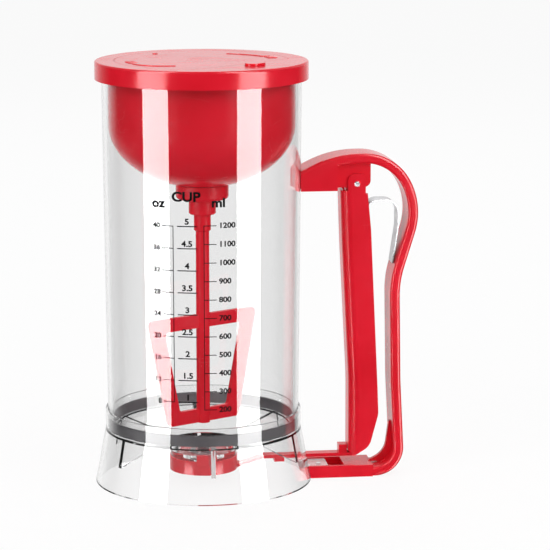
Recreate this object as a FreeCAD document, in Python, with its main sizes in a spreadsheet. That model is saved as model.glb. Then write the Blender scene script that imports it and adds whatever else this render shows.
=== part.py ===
import FreeCAD, Part
import math
import os
import Sketcher

# Batter dispenser: a clear tapered jar on a flared base, a hand lever that draws a slide valve
# under the nozzle, and a lift-out lid that carries a battery motor and its beater.
# The origin is the middle of the base rim on the table, +Z is up and +X runs to the handle.

doc = FreeCAD.newDocument("batter_dispenser")
sheet = doc.addObject("Spreadsheet::Sheet", "Sizes")

SIZES = [
    # jar
    ("jar_top_radius", "58.1"), ("jar_bottom_radius", "56.2"), ("jar_wall", "2.5"),
    ("jar_top", "244"), ("sliding_fit", "0.1"), ("running_gap", "0.3"), ("pin_fit", "0.05"),
    ("weld", "0.5"), ("overcut", "1"),
    ("rail_neck_width", "9"), ("rail_head_width", "15"), ("rail_head_depth", "2.5"),
    ("rail_reach", "6"), ("rail_length", "7.2"), ("rail_clear", "0.5"),
    # base
    ("skirt_radius", "63.8"), ("skirt_wall", "2.4"), ("collar_radius", "57.6"),
    ("collar_top", "43.4"), ("floor_top", "33"), ("floor_thick", "2.6"), ("floor_lip", "4.2"),
    ("gasket_height", "6.2"), ("gasket_width", "2.8"), ("funnel_drop", "9.4"),
    ("nozzle_radius", "19.5"), ("nozzle_bore", "15.5"), ("nozzle_bottom", "14.6"),
    ("nozzle_floor", "2.6"), ("port_radius", "3.8"), ("seal_inner", "5"), ("seal_outer", "8"),
    ("seal_depth", "1.2"), ("guide_ledge", "2"), ("guide_gap", "2.2"), ("guide_depth", "2.3"),
    ("web_count", "6"), ("web_turn", "30"), ("web_thick", "2.6"), ("web_low", "14.3"), ("web_reach", "22"),
    ("tongue_length", "10"), ("tongue_height", "3.8"),
    # handle
    ("handle_width", "24"), ("strip_thick", "5.8"), ("strip_round", "1.8"),
    ("beam_height", "7.1"), ("beam_low", "0.3"), ("beam_wall", "2.2"), ("beam_floor", "2.6"),
    ("beam_overlap", "8"), ("strip_run", "8"), ("channel_end", "83"),
    ("beam_end", "100"), ("grip_low_x", "116.3"), ("grip_mid_x", "113.5"),
    ("grip_mid_height", "58"), ("grip_high_x", "112.5"), ("grip_high_drop", "58.3"),
    ("arch_side_x", "126.1"), ("arch_side_drop", "13.9"), ("arch_back_x", "110.8"),
    ("arch_rise", "14.9"), ("arch_front_x", "77.1"), ("arm_rise", "10.7"),
    ("corner_bend", "14"), ("grip_bend", "150"), ("palm_bend", "60"), ("side_bend", "38"),
    ("back_bend", "28"), ("front_bend", "60"), ("arm_drop", "3.8"), ("arm_end", "78.1"),
    ("block_drop", "2.3"), ("block_end", "98"), ("block_width", "17.4"), ("block_round", "4"),
    ("arm_root", "6"), ("arm_tail_drop", "3"), ("arm_cover", "0.6"), ("arm_slope_run", "10"),
    ("arm_slope_drop", "4"), ("clear_margin", "20"),
    ("gusset_thick", "3"), ("gusset_rise", "31"), ("gusset_run", "16"), ("gusset_bend", "12"),
    ("gusset_tip", "7"), ("gusset_tip_width", "2.4"), ("gusset_foot", "5"),
    # lever, pin and spring
    ("pivot_x", "89.6"), ("pivot_height", "176.3"), ("pin_radius", "1.6"), ("pin_overhang", "0.7"),
    ("lever_width", "22"), ("lever_wall", "2.2"), ("cheek_wall", "2"), ("lever_top_drop", "4.3"),
    ("lever_top_x", "80.5"), ("lever_knee_x", "81.6"), ("lever_knee_drop", "36.3"),
    ("lever_low_x", "85.8"), ("lever_low_height", "58.6"), ("lever_foot", "15.2"),
    ("lever_tip_x", "88.6"), ("lever_tip_height", "12.6"), ("lever_toe_x", "98"),
    ("lever_toe_height", "18.5"), ("lever_heel_x", "103.2"), ("lever_heel_height", "38"),
    ("lever_back_x", "98.1"), ("lever_back_drop", "27.3"), ("ear_half", "5.2"),
    ("ear_rise", "5.8"), ("lever_nose_round", "6"),
    ("toe_bend", "9"), ("heel_bend", "12"), ("heel_rise", "16"), ("heel_lean", "0.6"),
    ("ear_shoulder", "1.2"), ("ear_drop", "1.4"), ("ear_back_round", "2"),
    ("ear_front_round", "4"), ("lever_tilt", "0.1"), ("lever_spread", "6"), ("lever_sweep", "200"),
    ("lever_depth", "34"), ("notch_front", "4"), ("notch_back", "8"), ("notch_low", "2"),
    ("notch_rise", "1.4"),
    ("spring_width", "13"), ("spring_thick", "0.7"), ("spring_top_drop", "10.7"),
    ("spring_back_x", "115"), ("spring_back_drop", "26.3"), ("spring_foot_drop", "48.3"),
    ("spring_front_x", "97.2"), ("spring_toe_x", "86.3"), ("spring_toe_drop", "68.3"),
    ("spring_foot_x", "111.8"), ("spring_bend", "7.5"),
    ("spring_toe_run", "10"), ("spring_toe_bend", "15"), ("spring_back_bend", "20"),
    # slide valve
    ("cup_radius", "20"), ("cup_wall", "1.8"), ("cup_low", "6.2"), ("cup_plate", "2"),
    ("valve_travel", "8.7"), ("arm_width", "7"), ("arm_thick", "2"), ("arm_level", "11.2"),
    ("arm_bend_x", "36"), ("hook_length", "5"), ("hook_height", "5"), ("tab_length", "2.2"),
    ("guide_length", "12"), ("guide_wall", "1"), ("lip_height", "1.4"),
    ("stop_x", "42"), ("stop_length", "6"), ("stop_height", "2.2"), ("tab_drop", "2"),
    ("guide_foot", "3"),
    # lid and mixer head
    ("lid_overhang", "3.9"), ("lid_rise", "4.9"), ("lid_rim_height", "10.5"), ("lid_rim_wall", "2.4"),
    ("lid_plate", "2.5"), ("lid_core", "4.5"), ("lid_edge_round", "1.2"), ("lid_gasket", "1.9"),
    ("dome_clear", "1.2"), ("dome_wall", "2"), ("dome_drop", "35.9"), ("dome_depth", "38"),
    ("neck_radius", "11.5"), ("neck_bore", "9"), ("neck_drop", "5"), ("collar_outer", "15.5"),
    ("collar_drop", "2"), ("collar_floor", "1.6"), ("collar_round", "2"),
    ("door_inset", "4"), ("door_flat_inset", "17.5"), ("door_turn", "-50"), ("door_thick", "2.2"),
    ("button_length", "13"), ("button_width", "9"), ("button_inset", "7.9"),
    ("button_proud", "1.5"), ("button_travel", "1.2"), ("button_flange", "1.2"),
    ("mark_radius", "1.5"), ("mark_inset", "7"), ("mark_turn", "123.5"), ("mark_height", "0.4"),
    ("boss_length", "18.4"), ("boss_web", "2"), ("collar_seam", "0.4"), ("bush_drop", "1"),
    ("seal_lift", "1.6"),
    # drive
    ("gearbox_radius", "14"), ("gearbox_lift", "3.5"), ("gearbox_height", "14.5"),
    ("motor_radius", "12"), ("motor_length", "30"), ("socket_wall", "2"), ("socket_height", "8"),
    ("gear_bore_depth", "6"),
    ("shaft_reach", "5.5"), ("cap_rise", "1.5"), ("hub_edge", "0.6"), ("sleeve_edge", "0.8"),
    ("hub_gap", "1.2"),
    ("output_radius", "3"), ("hub_radius", "8"), ("hub_height", "8.7"), ("sleeve_radius", "5"),
    ("sleeve_length", "10.2"), ("step_drop", "11"), ("beater_shaft_radius", "4"),
    ("beater_low", "34.2"), ("frame_low", "34.6"), ("frame_high", "99.5"), ("frame_top_width", "77.6"),
    ("frame_low_width", "50"), ("frame_bar", "8"), ("frame_thick", "2.8"), ("frame_turn", "30"),
    ("frame_round", "3"), ("window_round", "2"), ("window_inset", "1.2"),
    # batteries
    ("cell_radius", "7.2"), ("cell_length", "50"), ("cell_ring", "26"),
    ("cell_turn", "-5"), ("cell_step", "90"),
    ("cell_drop", "2.9"), ("cell_nub_radius", "2.7"), ("cell_nub_height", "1"),
    ("tube_wall", "1.2"), ("tube_clearance", "0.3"), ("tray_height", "34"), ("tray_floor", "1.6"),
    ("hub_drop", "10"),
    ("strip_metal", "0.4"), ("strip_width", "8"),
    ("switch_width", "7"), ("switch_length", "17"), ("switch_height", "7"), ("post_radius", "1.5"),
    ("slot_room", "2"),
    # screws
    ("screw_head_radius", "2.8"), ("screw_head_height", "1.3"), ("screw_radius", "1.4"),
    ("screw_length", "8"), ("boss_radius", "3.6"), ("boss_inset", "7.9"),
    ("boss_turn", "10"), ("boss_step", "120"),
]
row = 1
for alias, value in SIZES:
    sheet.set("A%d" % row, alias)
    sheet.set("B%d" % row, value)
    sheet.setAlias("B%d" % row, alias)
    row += 1
doc.recompute()


# A size is a number together with the expression that keeps it bound to the sheet.
class Size:
    def __init__(self, value, text):
        self.value = value
        self.text = text

    def __add__(self, other):
        other = toSize(other)
        return Size(self.value + other.value, "(%s + %s)" % (self.text, other.text))

    def __sub__(self, other):
        other = toSize(other)
        return Size(self.value - other.value, "(%s - %s)" % (self.text, other.text))

    def __mul__(self, other):
        other = toSize(other)
        return Size(self.value * other.value, "(%s * %s)" % (self.text, other.text))

    def __truediv__(self, other):
        other = toSize(other)
        return Size(self.value / other.value, "(%s / %s)" % (self.text, other.text))

    def __radd__(self, other):
        return toSize(other) + self

    def __rsub__(self, other):
        return toSize(other) - self

    def __rmul__(self, other):
        return toSize(other) * self

    def __neg__(self):
        return 0 - self


def toSize(number):
    if isinstance(number, Size):
        return number
    return Size(float(number), "(%.9g)" % number)


def root(size):
    return Size(size.value ** 0.5, "sqrt(%s)" % size.text)


def cosine(turn):
    return Size(math.cos(math.radians(turn.value)), "cos(%s * 1 deg)" % turn.text)


def sine(turn):
    return cosine(90 - turn)


class Named:
    def __getattr__(self, alias):
        return Size(float(sheet.get(alias)), "Sizes.%s" % alias)


d = Named()
nodes = []

# levels and reaches that follow the jar's rim and the lever's pivot
lidTop = d.jar_top + d.lid_rise
lidRadius = d.jar_top_radius + d.lid_overhang
coreLow = lidTop - d.lid_core
cellTop = lidTop - d.cell_drop
bossLow = coreLow - d.boss_length
domeRadius = d.jar_top_radius - d.jar_wall - d.dome_clear
domeEquator = lidTop - d.dome_drop
domeLow = domeEquator - d.dome_depth
neckLow = domeLow - d.neck_drop
collarLow = neckLow - d.collar_drop
gearboxLow = domeLow + d.gearbox_lift
stepHeight = neckLow - d.step_drop
sleeveLow = stepHeight - d.sleeve_length
bossRing = domeRadius - d.boss_inset
doorRadius = domeRadius - d.door_inset
doorFlat = doorRadius - d.door_flat_inset
buttonReach = doorRadius - d.button_inset
markReach = doorRadius - d.mark_inset
armLow = d.pivot_height - d.arm_drop
blockLow = d.pivot_height - d.block_drop
archHeight = d.pivot_height + d.arch_rise
archSideHeight = d.pivot_height - d.arch_side_drop
gripHighHeight = d.pivot_height - d.grip_high_drop
leverTop = d.pivot_height - d.lever_top_drop
leverKneeHeight = d.pivot_height - d.lever_knee_drop
leverBackHeight = d.pivot_height - d.lever_back_drop
springTop = d.pivot_height - d.spring_top_drop
springBackHeight = d.pivot_height - d.spring_back_drop
springFoot = d.pivot_height - d.spring_foot_drop
springToe = d.pivot_height - d.spring_toe_drop


def keep(name, thing):
    thing.Label = name
    nodes.append(thing)
    return thing


def bind(thing, prop, size):
    thing.setExpression(prop, toSize(size).text)


# The sketch plane of a body, found by its role, with the sketch shifted along the plane's normal.
def newSketch(body, role, name, shift=0, turn=0):
    sketch = body.newObject("Sketcher::SketchObject", name)
    plane = [f for f in body.Origin.OriginFeatures if f.Role == role][0]
    sketch.AttachmentSupport = (plane, [""])
    sketch.MapMode = "FlatFace"
    axis = FreeCAD.Vector(0, 1, 0)
    sketch.AttachmentOffset = FreeCAD.Placement(
        FreeCAD.Vector(0, 0, toSize(shift).value), FreeCAD.Rotation(axis, toSize(turn).value))
    if isinstance(shift, Size):
        sketch.setExpression("AttachmentOffset.Base.z", shift.text)
    return sketch


# An outline through corners (x, y) or (x, y, bend), each corner held at its place by the sheet
# and rounded with a tangent arc where it has a bend.
def outline(sketch, corners, closed=True):
    points = []
    for corner in corners:
        x, y = toSize(corner[0]), toSize(corner[1])
        bend = toSize(corner[2]) if len(corner) > 2 else None
        points.append((x, y, bend, FreeCAD.Vector(x.value, y.value, 0)))
    count = len(points)
    ends = []
    for i, (x, y, bend, here) in enumerate(points):
        if bend is None or (not closed and i in (0, count - 1)):
            ends.append((here, here, None))
            continue
        back = (points[i - 1][3] - here).normalize()
        ahead = (points[(i + 1) % count][3] - here).normalize()
        half = back.getAngle(ahead) / 2
        middle = (back + ahead).normalize()
        reach = bend.value / math.tan(half)
        centre = here + middle * (bend.value / math.sin(half))
        ends.append((here + back * reach, here + ahead * reach, centre))
    lines = {}
    spans = count if closed else count - 1
    for i in range(spans):
        line = Part.LineSegment(ends[i][1], ends[(i + 1) % count][0])
        lines[i] = sketch.addGeometry(line, False)
    for i, (x, y, bend, here) in enumerate(points):
        first, last, centre = ends[i]
        before = lines.get((i - 1) % count) if closed or i > 0 else None
        after = lines.get(i)
        if centre is None:
            held, spot = (after, 1) if after is not None else (before, 2)
            if before is not None and after is not None:
                sketch.addConstraint(Sketcher.Constraint("Coincident", before, 2, after, 1))
        else:
            start = first - centre
            stop = last - centre
            left = start.cross(stop).z > 0
            mid = centre + ((first + last) * 0.5 - centre).normalize() * bend.value
            arc = sketch.addGeometry(Part.Arc(first, mid, last), False)
            one, two = (1, 2) if left else (2, 1)
            sketch.addConstraint(Sketcher.Constraint("Tangent", before, 2, arc, one))
            sketch.addConstraint(Sketcher.Constraint("Tangent", arc, two, after, 1))
            radius = sketch.addConstraint(Sketcher.Constraint("Radius", arc, bend.value))
            sketch.setExpression("Constraints[%d]" % radius, bend.text)
            held = sketch.addGeometry(Part.Point(here), True)
            spot = 1
            sketch.addConstraint(Sketcher.Constraint("PointOnObject", held, 1, before))
            sketch.addConstraint(Sketcher.Constraint("PointOnObject", held, 1, after))
        across = sketch.addConstraint(
            Sketcher.Constraint("DistanceX", -1, 1, held, spot, x.value))
        sketch.setExpression("Constraints[%d]" % across, x.text)
        rise = sketch.addConstraint(
            Sketcher.Constraint("DistanceY", -1, 1, held, spot, y.value))
        sketch.setExpression("Constraints[%d]" % rise, y.text)
    return sketch


def newBody(name):
    return doc.addObject("PartDesign::Body", name)


# A turned piece: corners are (radius, height).
def turned(name, corners, body=None):
    body = body or newBody(name)
    sketch = outline(newSketch(body, "XZ_Plane", name + "_profile"), corners)
    turn = body.newObject("PartDesign::Revolution", name + "_turn")
    turn.Profile = sketch
    turn.ReferenceAxis = (sketch, ["V_Axis"])
    turn.Angle = 360
    return body


# A plate whose side view has corners (x, z), centred on the middle plane.
def sidePlate(name, corners, width, body=None, turn=0):
    body = body or newBody(name)
    sketch = outline(newSketch(body, "XZ_Plane", name + "_profile", 0, turn), corners)
    pad = body.newObject("PartDesign::Pad", name + "_pad")
    pad.Profile = sketch
    pad.Midplane = True
    bind(pad, "Length", width)
    return body


def place(thing, x, y, z):
    bind(thing, "Placement.Base.x", x)
    bind(thing, "Placement.Base.y", y)
    bind(thing, "Placement.Base.z", z)
    return thing


def rod(name, radius, low, height, x=0, y=0):
    thing = doc.addObject("Part::Cylinder", name)
    bind(thing, "Radius", radius)
    bind(thing, "Height", height)
    return place(thing, x, y, low)


def rodAcross(name, radius, x, z, length):
    thing = doc.addObject("Part::Cylinder", name)
    bind(thing, "Radius", radius)
    bind(thing, "Height", length)
    thing.Placement = FreeCAD.Placement(
        FreeCAD.Vector(0, 0, 0), FreeCAD.Rotation(FreeCAD.Vector(1, 0, 0), -90))
    return place(thing, x, -toSize(length) / 2, z)


# A box from x0 to x1 and z0 to z1, centred on the middle plane unless a side is given.
def box(name, x0, x1, width, z0, z1, side=None):
    thing = doc.addObject("Part::Box", name)
    bind(thing, "Length", toSize(x1) - x0)
    bind(thing, "Width", width)
    bind(thing, "Height", toSize(z1) - z0)
    y = -toSize(width) / 2 if side is None else side
    return place(thing, x0, y, z0)


def cut(name, base, *tools):
    for i, tool in enumerate(tools):
        step = doc.addObject("Part::Cut", name if i == 0 else "%s_%d" % (name, i))
        step.Base = base
        step.Tool = tool
        base = step
    return base


def fuse(name, *pieces):
    joined = doc.addObject("Part::MultiFuse", name)
    joined.Shapes = list(pieces)
    joined.Refine = True
    return joined


def group(name, *pieces):
    together = doc.addObject("Part::Compound", name)
    together.Links = list(pieces)
    return together


# Outer radius of the flared skirt and of the tapered jar at a height.
def skirtAt(height):
    return d.skirt_radius - (d.skirt_radius - d.collar_radius) * height / d.floor_top


jarBottom = d.floor_top + d.gasket_height


def jarAt(height):
    slope = (d.jar_top_radius - d.jar_bottom_radius) / (d.jar_top - jarBottom)
    return d.jar_bottom_radius + slope * (toSize(height) - jarBottom)


# jar: tapered tube with the T rail that the handle hangs on
jarTube = turned("jar_tube", [
    (d.jar_bottom_radius - d.jar_wall, jarBottom), (d.jar_bottom_radius, jarBottom),
    (d.jar_top_radius, d.jar_top), (d.jar_top_radius - d.jar_wall, d.jar_top)])
railIn = jarAt(armLow) - d.jar_wall / 2 - d.weld
railOut = jarAt(armLow) + d.rail_reach
railLow = armLow + d.rail_clear
railTop = railLow + d.rail_length
railNeck = box("rail_neck", railIn, railOut, d.rail_neck_width, railLow, railTop)
railHead = box("rail_head", railOut - d.rail_head_depth, railOut, d.rail_head_width,
               railLow, railTop)
keep("clear_jar", fuse("jar_with_rail", jarTube, railNeck, railHead))

# base: flared skirt, collar round the jar, funnel floor and nozzle in one clear moulding
collarIn = d.jar_bottom_radius + d.sliding_fit
floorLow = d.floor_top - d.floor_thick
funnelTop = d.jar_bottom_radius - d.floor_lip
nozzleTop = d.floor_top - d.funnel_drop
skirt = turned("skirt_shell", [
    (d.skirt_radius, 0), (d.collar_radius, d.floor_top), (d.collar_radius, d.collar_top),
    (collarIn, d.collar_top), (collarIn, d.floor_top), (funnelTop, d.floor_top),
    (d.nozzle_bore, nozzleTop), (d.nozzle_bore, d.nozzle_bottom + d.nozzle_floor),
    (d.port_radius, d.nozzle_bottom + d.nozzle_floor), (d.port_radius, d.nozzle_bottom),
    (d.seal_inner, d.nozzle_bottom), (d.seal_inner, d.nozzle_bottom + d.seal_depth),
    (d.seal_outer, d.nozzle_bottom + d.seal_depth), (d.seal_outer, d.nozzle_bottom),
    (d.nozzle_radius, d.nozzle_bottom), (d.nozzle_radius, nozzleTop - d.floor_thick),
    (funnelTop, floorLow), (skirtAt(floorLow) - d.skirt_wall, floorLow),
    (d.skirt_radius - d.skirt_wall, 0)])
webTip = funnelTop - d.web_reach
webTipHeight = nozzleTop - d.floor_thick / 2 + d.funnel_drop * (webTip - d.nozzle_bore) / (
    funnelTop - d.nozzle_bore)
sidePlate("web", [
    (skirtAt(d.web_low) - d.skirt_wall / 2, d.web_low),
    (skirtAt(floorLow) - d.skirt_wall / 2, floorLow + d.weld), (funnelTop, floorLow + d.weld),
    (webTip, webTipHeight)], d.web_thick, skirt, d.web_turn)
doc.recompute()
webs = skirt.newObject("PartDesign::PolarPattern", "webs")
webs.Originals = [doc.getObject("web_pad")]
webs.Axis = (doc.getObject("skirt_shell_profile"), ["V_Axis"])
webs.Angle = 360
bind(webs, "Occurrences", d.web_count)
skirt.Tip = webs
beamMid = d.beam_low + d.beam_floor
tongue = box("tongue", skirtAt(beamMid) - d.skirt_wall / 2,
             d.skirt_radius + d.tongue_length,
             d.handle_width - 2 * d.beam_wall - 2 * d.sliding_fit,
             beamMid + d.sliding_fit, beamMid + d.sliding_fit + d.tongue_height)
screwX = d.skirt_radius + d.tongue_length / 2
armSlot = box("arm_slot", funnelTop, d.skirt_radius, d.arm_width + 2 * d.running_gap,
              d.arm_level - d.running_gap, d.arm_level + d.arm_thick + d.running_gap)
guideLow = d.nozzle_bottom + d.guide_ledge
grooves = []
for side in (1, -1):
    inner = d.nozzle_radius - d.guide_depth
    start = inner if side > 0 else -inner - d.nozzle_radius
    grooves.append(box("guide_groove_%d" % (side + 2), -d.nozzle_radius, d.nozzle_radius,
                       d.nozzle_radius, guideLow, guideLow + d.guide_gap, start))
tonguePilot = rod("tongue_pilot", d.screw_radius + d.pin_fit, d.beam_low, d.screw_length, screwX)
skirtSolid = fuse("skirt_with_tongue", skirt, tongue)
keep("base_skirt", cut("base_cut", skirtSolid, armSlot, grooves[0], grooves[1], tonguePilot))

keep("base_gasket", turned("gasket_ring", [
    (d.jar_bottom_radius - d.gasket_width, d.floor_top), (d.jar_bottom_radius, d.floor_top),
    (d.jar_bottom_radius, jarBottom), (d.jar_bottom_radius - d.gasket_width, jarBottom)]))

valveTop = d.nozzle_bottom - d.running_gap
sealLow = valveTop + d.running_gap / 2
keep("nozzle_seal", turned("seal_ring", [
    (d.seal_inner + d.sliding_fit, sealLow), (d.seal_outer - d.sliding_fit, sealLow),
    (d.seal_outer - d.sliding_fit, d.nozzle_bottom + d.seal_depth),
    (d.seal_inner + d.sliding_fit, d.nozzle_bottom + d.seal_depth)]))

# handle: a rounded strip bent round the grip, on a channel beam, with the arm and pivot block
beamTop = d.beam_low + d.beam_height
beamAxis = d.beam_low + d.strip_thick / 2
armStart = d.arch_front_x - 2 * d.arm_rise
handle = newBody("handle_strip")
path = outline(newSketch(handle, "XZ_Plane", "strip_path"), [
    (d.beam_end - d.strip_run, beamAxis), (d.grip_low_x, beamAxis, d.corner_bend),
    (d.grip_mid_x, d.grip_mid_height, d.grip_bend),
    (d.grip_high_x, gripHighHeight, d.palm_bend),
    (d.arch_side_x, archSideHeight, d.side_bend),
    (d.arch_back_x, archHeight, d.back_bend),
    (d.arch_front_x, archHeight, d.front_bend),
    (armStart - d.arm_root, archHeight - d.arm_rise - d.arm_tail_drop)], False)
halfWide = d.handle_width / 2
halfThick = d.strip_thick / 2
section = outline(newSketch(handle, "YZ_Plane", "strip_section", d.beam_end - d.strip_run), [
    (-halfWide, beamAxis - halfThick, d.strip_round), (halfWide, beamAxis - halfThick, d.strip_round),
    (halfWide, beamAxis + halfThick, d.strip_round), (-halfWide, beamAxis + halfThick, d.strip_round)])
doc.recompute()
pipe = handle.newObject("PartDesign::AdditivePipe", "strip_sweep")
pipe.Profile = section
pipe.Spine = (path, [])
beamRound = box("beam_solid", d.skirt_radius - d.beam_overlap, d.beam_end, d.handle_width,
                d.beam_low, beamTop)
channel = box("beam_channel", d.skirt_radius - d.beam_overlap - d.overcut, d.channel_end,
              d.handle_width - 2 * d.beam_wall, d.beam_low + d.beam_floor, beamTop + d.overcut)
armBlock = sidePlate("arm_block", [
    (armStart - d.arm_root, armLow), (d.arm_end, armLow),
    (d.arm_end, archHeight - halfThick + d.arm_cover),
    (armStart + d.arm_slope_run, archHeight - d.arm_rise + d.arm_slope_drop),
    (armStart - d.arm_root, archHeight - d.arm_rise - d.arm_slope_drop)], d.handle_width)
pivotBlock = sidePlate("pivot_block", [
    (d.arm_end - d.weld, blockLow), (d.block_end, blockLow, d.block_round),
    (d.block_end, archHeight), (d.arm_end - d.weld, archHeight)], d.block_width)
gripInner = d.grip_low_x - halfThick
gusset = sidePlate("gusset", [
    (gripInner - d.gusset_run, beamTop - d.weld), (gripInner + d.weld, beamTop - d.weld),
    (gripInner - d.weld, beamTop + d.gusset_rise - d.gusset_tip),
    (gripInner - d.gusset_tip_width, beamTop + d.gusset_rise - d.gusset_tip),
    (gripInner - d.gusset_foot, beamTop + d.gusset_foot, d.gusset_bend)], d.gusset_thick)
blank = fuse("handle_blank", handle, beamRound, armBlock, pivotBlock, gusset)
jarClear = rod("jar_clearance", jarAt(archHeight) + d.sliding_fit, armLow - d.clear_margin,
               d.clear_margin * 3)
skirtClear = doc.addObject("Part::Cone", "skirt_clearance")
bind(skirtClear, "Radius1", d.skirt_radius + d.sliding_fit)
bind(skirtClear, "Radius2", d.collar_radius + d.sliding_fit)
bind(skirtClear, "Height", d.floor_top)
slotTop = railTop + d.running_gap
neckSlot = box("rail_neck_slot", armStart - d.beam_overlap, railOut + d.sliding_fit,
               d.rail_neck_width + 2 * d.sliding_fit, armLow - d.overcut, slotTop)
headSlot = box("rail_head_slot", railOut - d.rail_head_depth - d.sliding_fit,
               railOut + d.sliding_fit, d.rail_head_width + 2 * d.sliding_fit,
               armLow - d.overcut, slotTop)
pinBore = rodAcross("pin_bore", d.pin_radius + d.pin_fit / 2, d.pivot_x, d.pivot_height,
                    d.handle_width + 2 * d.overcut)
beamHole = rod("beam_screw_hole", d.screw_radius + d.pin_fit, d.beam_low - d.overcut,
               d.beam_floor + 2 * d.overcut, screwX)
beamSink = rod("beam_screw_sink", d.screw_head_radius + d.running_gap, d.beam_low - d.overcut,
               d.screw_head_height + d.overcut, screwX)
keep("handle_frame", cut("handle_cut", blank, channel, jarClear, skirtClear, neckSlot, headSlot,
                         pinBore, beamHole, beamSink))

beamScrewHead = rod("beam_screw_head", d.screw_head_radius, d.beam_low, d.screw_head_height, screwX)
beamScrewShank = rod("beam_screw_shank", d.screw_radius, d.beam_low + d.weld,
                     d.screw_length - 2 * d.overcut, screwX)
keep("handle_screw", fuse("beam_screw", beamScrewHead, beamScrewShank))
keep("pivot_pin", rodAcross("pin", d.pin_radius, d.pivot_x, d.pivot_height,
                            d.lever_width + 2 * d.pin_overhang))

# trigger lever: a rounded channel with two ears on the pin
earTop = d.pivot_height + d.ear_rise
earFront = d.pivot_x - d.ear_half
earBack = d.pivot_x + d.ear_half
footX = d.lever_low_x + d.lever_tilt
leverSide = sidePlate("lever_side", [
    (d.lever_top_x - d.lever_wall, leverTop), (d.lever_low_x - d.lever_spread, d.lever_foot),
    (footX, d.lever_foot), (d.lever_tip_x, d.lever_tip_height),
    (d.lever_toe_x, d.lever_toe_height, d.toe_bend),
    (d.lever_heel_x, d.lever_heel_height, d.heel_bend),
    (d.lever_heel_x - d.heel_lean, d.lever_heel_height + d.heel_rise),
    (d.lever_back_x, leverBackHeight),
    (earBack + d.ear_shoulder, leverTop - d.ear_drop), (earBack, leverTop - d.ear_drop),
    (earBack, earTop, d.ear_back_round), (earFront, earTop, d.ear_front_round),
    (earFront, leverTop)], d.lever_width)


# A bar with a rounded front that follows the lever's front line, set in by a wall.
def leverBar(name, inset, width, nose):
    body = newBody(name)
    top = earTop + d.lever_spread
    frontTop = d.lever_top_x + inset
    line = outline(newSketch(body, "XZ_Plane", name + "_path"), [
        (frontTop, top), (frontTop, leverTop, d.lever_sweep),
        (d.lever_knee_x + inset, leverKneeHeight, d.lever_sweep),
        (d.lever_low_x + inset, d.lever_low_height, d.lever_sweep),
        (footX + inset, d.lever_tip_height - d.notch_front)], False)
    half = toSize(width) / 2
    face = outline(newSketch(body, "XY_Plane", name + "_section", top), [
        (frontTop, -half, nose), (frontTop + d.lever_depth, -half),
        (frontTop + d.lever_depth, half), (frontTop, half, nose)])
    doc.recompute()
    sweep = body.newObject("PartDesign::AdditivePipe", name + "_sweep")
    sweep.Profile = face
    sweep.Spine = (line, [])
    return body


lever = doc.addObject("Part::Common", "lever_solid")
lever.Base = leverSide
lever.Tool = leverBar("lever_bar", 0, d.lever_width, d.lever_nose_round)
leverHollow = leverBar("lever_hollow", d.lever_wall, d.lever_width - 2 * d.cheek_wall,
                       d.lever_nose_round - d.cheek_wall)
armTop = d.arm_level + d.arm_thick
leverNotch = box("lever_notch", d.lever_low_x - d.notch_front, d.lever_tip_x + d.notch_back,
                 d.arm_width + 4 * d.running_gap, d.lever_tip_height - d.notch_low,
                 armTop + d.notch_rise)
leverBore = rodAcross("lever_bore", d.pin_radius + d.pin_fit, d.pivot_x, d.pivot_height,
                      d.lever_width + 2 * d.overcut)
earGap = box("lever_ear_gap", earFront - d.overcut, earBack + d.overcut,
             d.lever_width - 2 * d.cheek_wall, leverTop, earTop + d.overcut)
keep("trigger_lever", cut("lever_cut", lever, leverHollow, leverNotch, leverBore, earGap))

# return spring: a bent steel leaf between the lever's channel and the grip
spring = newBody("spring_leaf")
springPath = outline(newSketch(spring, "XZ_Plane", "spring_path"), [
    (d.spring_toe_x, springToe),
    (d.spring_toe_x, springToe + d.spring_toe_run, d.spring_toe_bend),
    (d.spring_front_x, springTop, d.spring_bend),
    (d.spring_back_x, springTop, d.spring_bend),
    (d.spring_back_x, springBackHeight, d.spring_back_bend),
    (d.spring_foot_x, springFoot)], False)
leafHalf = d.spring_thick / 2
leafWide = d.spring_width / 2
leafSection = outline(newSketch(spring, "XY_Plane", "spring_section", springToe), [
    (d.spring_toe_x - leafHalf, -leafWide), (d.spring_toe_x + leafHalf, -leafWide),
    (d.spring_toe_x + leafHalf, leafWide), (d.spring_toe_x - leafHalf, leafWide)])
doc.recompute()
leafSweep = spring.newObject("PartDesign::AdditivePipe", "spring_sweep")
leafSweep.Profile = leafSection
leafSweep.Spine = (springPath, [])
keep("return_spring", spring)

# slide valve: a shallow cup under the nozzle, drawn by an arm that hooks round the lever
portX = -d.valve_travel
cup = turned("valve_cup", [
    (0, valveTop - d.cup_plate), (d.cup_radius - d.cup_wall, valveTop - d.cup_plate),
    (d.cup_radius - d.cup_wall, d.cup_low), (d.cup_radius, d.cup_low), (d.cup_radius, valveTop),
    (0, valveTop)])
hookBack = footX - d.running_gap
tabFront = footX + d.lever_wall + d.running_gap
tabBack = tabFront + d.tab_length
tabTop = armTop + d.hook_height - d.tab_drop
armRoot = d.cup_radius - d.cup_wall / 2
arm = sidePlate("valve_arm", [
    (armRoot, d.cup_low), (d.arm_bend_x, d.arm_level), (tabBack, d.arm_level),
    (tabBack, tabTop), (tabFront, tabTop), (tabFront, armTop),
    (hookBack, armTop), (hookBack, armTop + d.hook_height),
    (hookBack - d.hook_length, armTop + d.hook_height), (hookBack - d.hook_length, armTop),
    (d.arm_bend_x, armTop), (armRoot, d.cup_low + d.arm_thick)], d.arm_width)
stop = box("valve_stop", d.stop_x, d.stop_x + d.stop_length, d.arm_width,
           d.arm_level - d.stop_height, d.arm_level + d.weld)
guides = []
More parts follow.
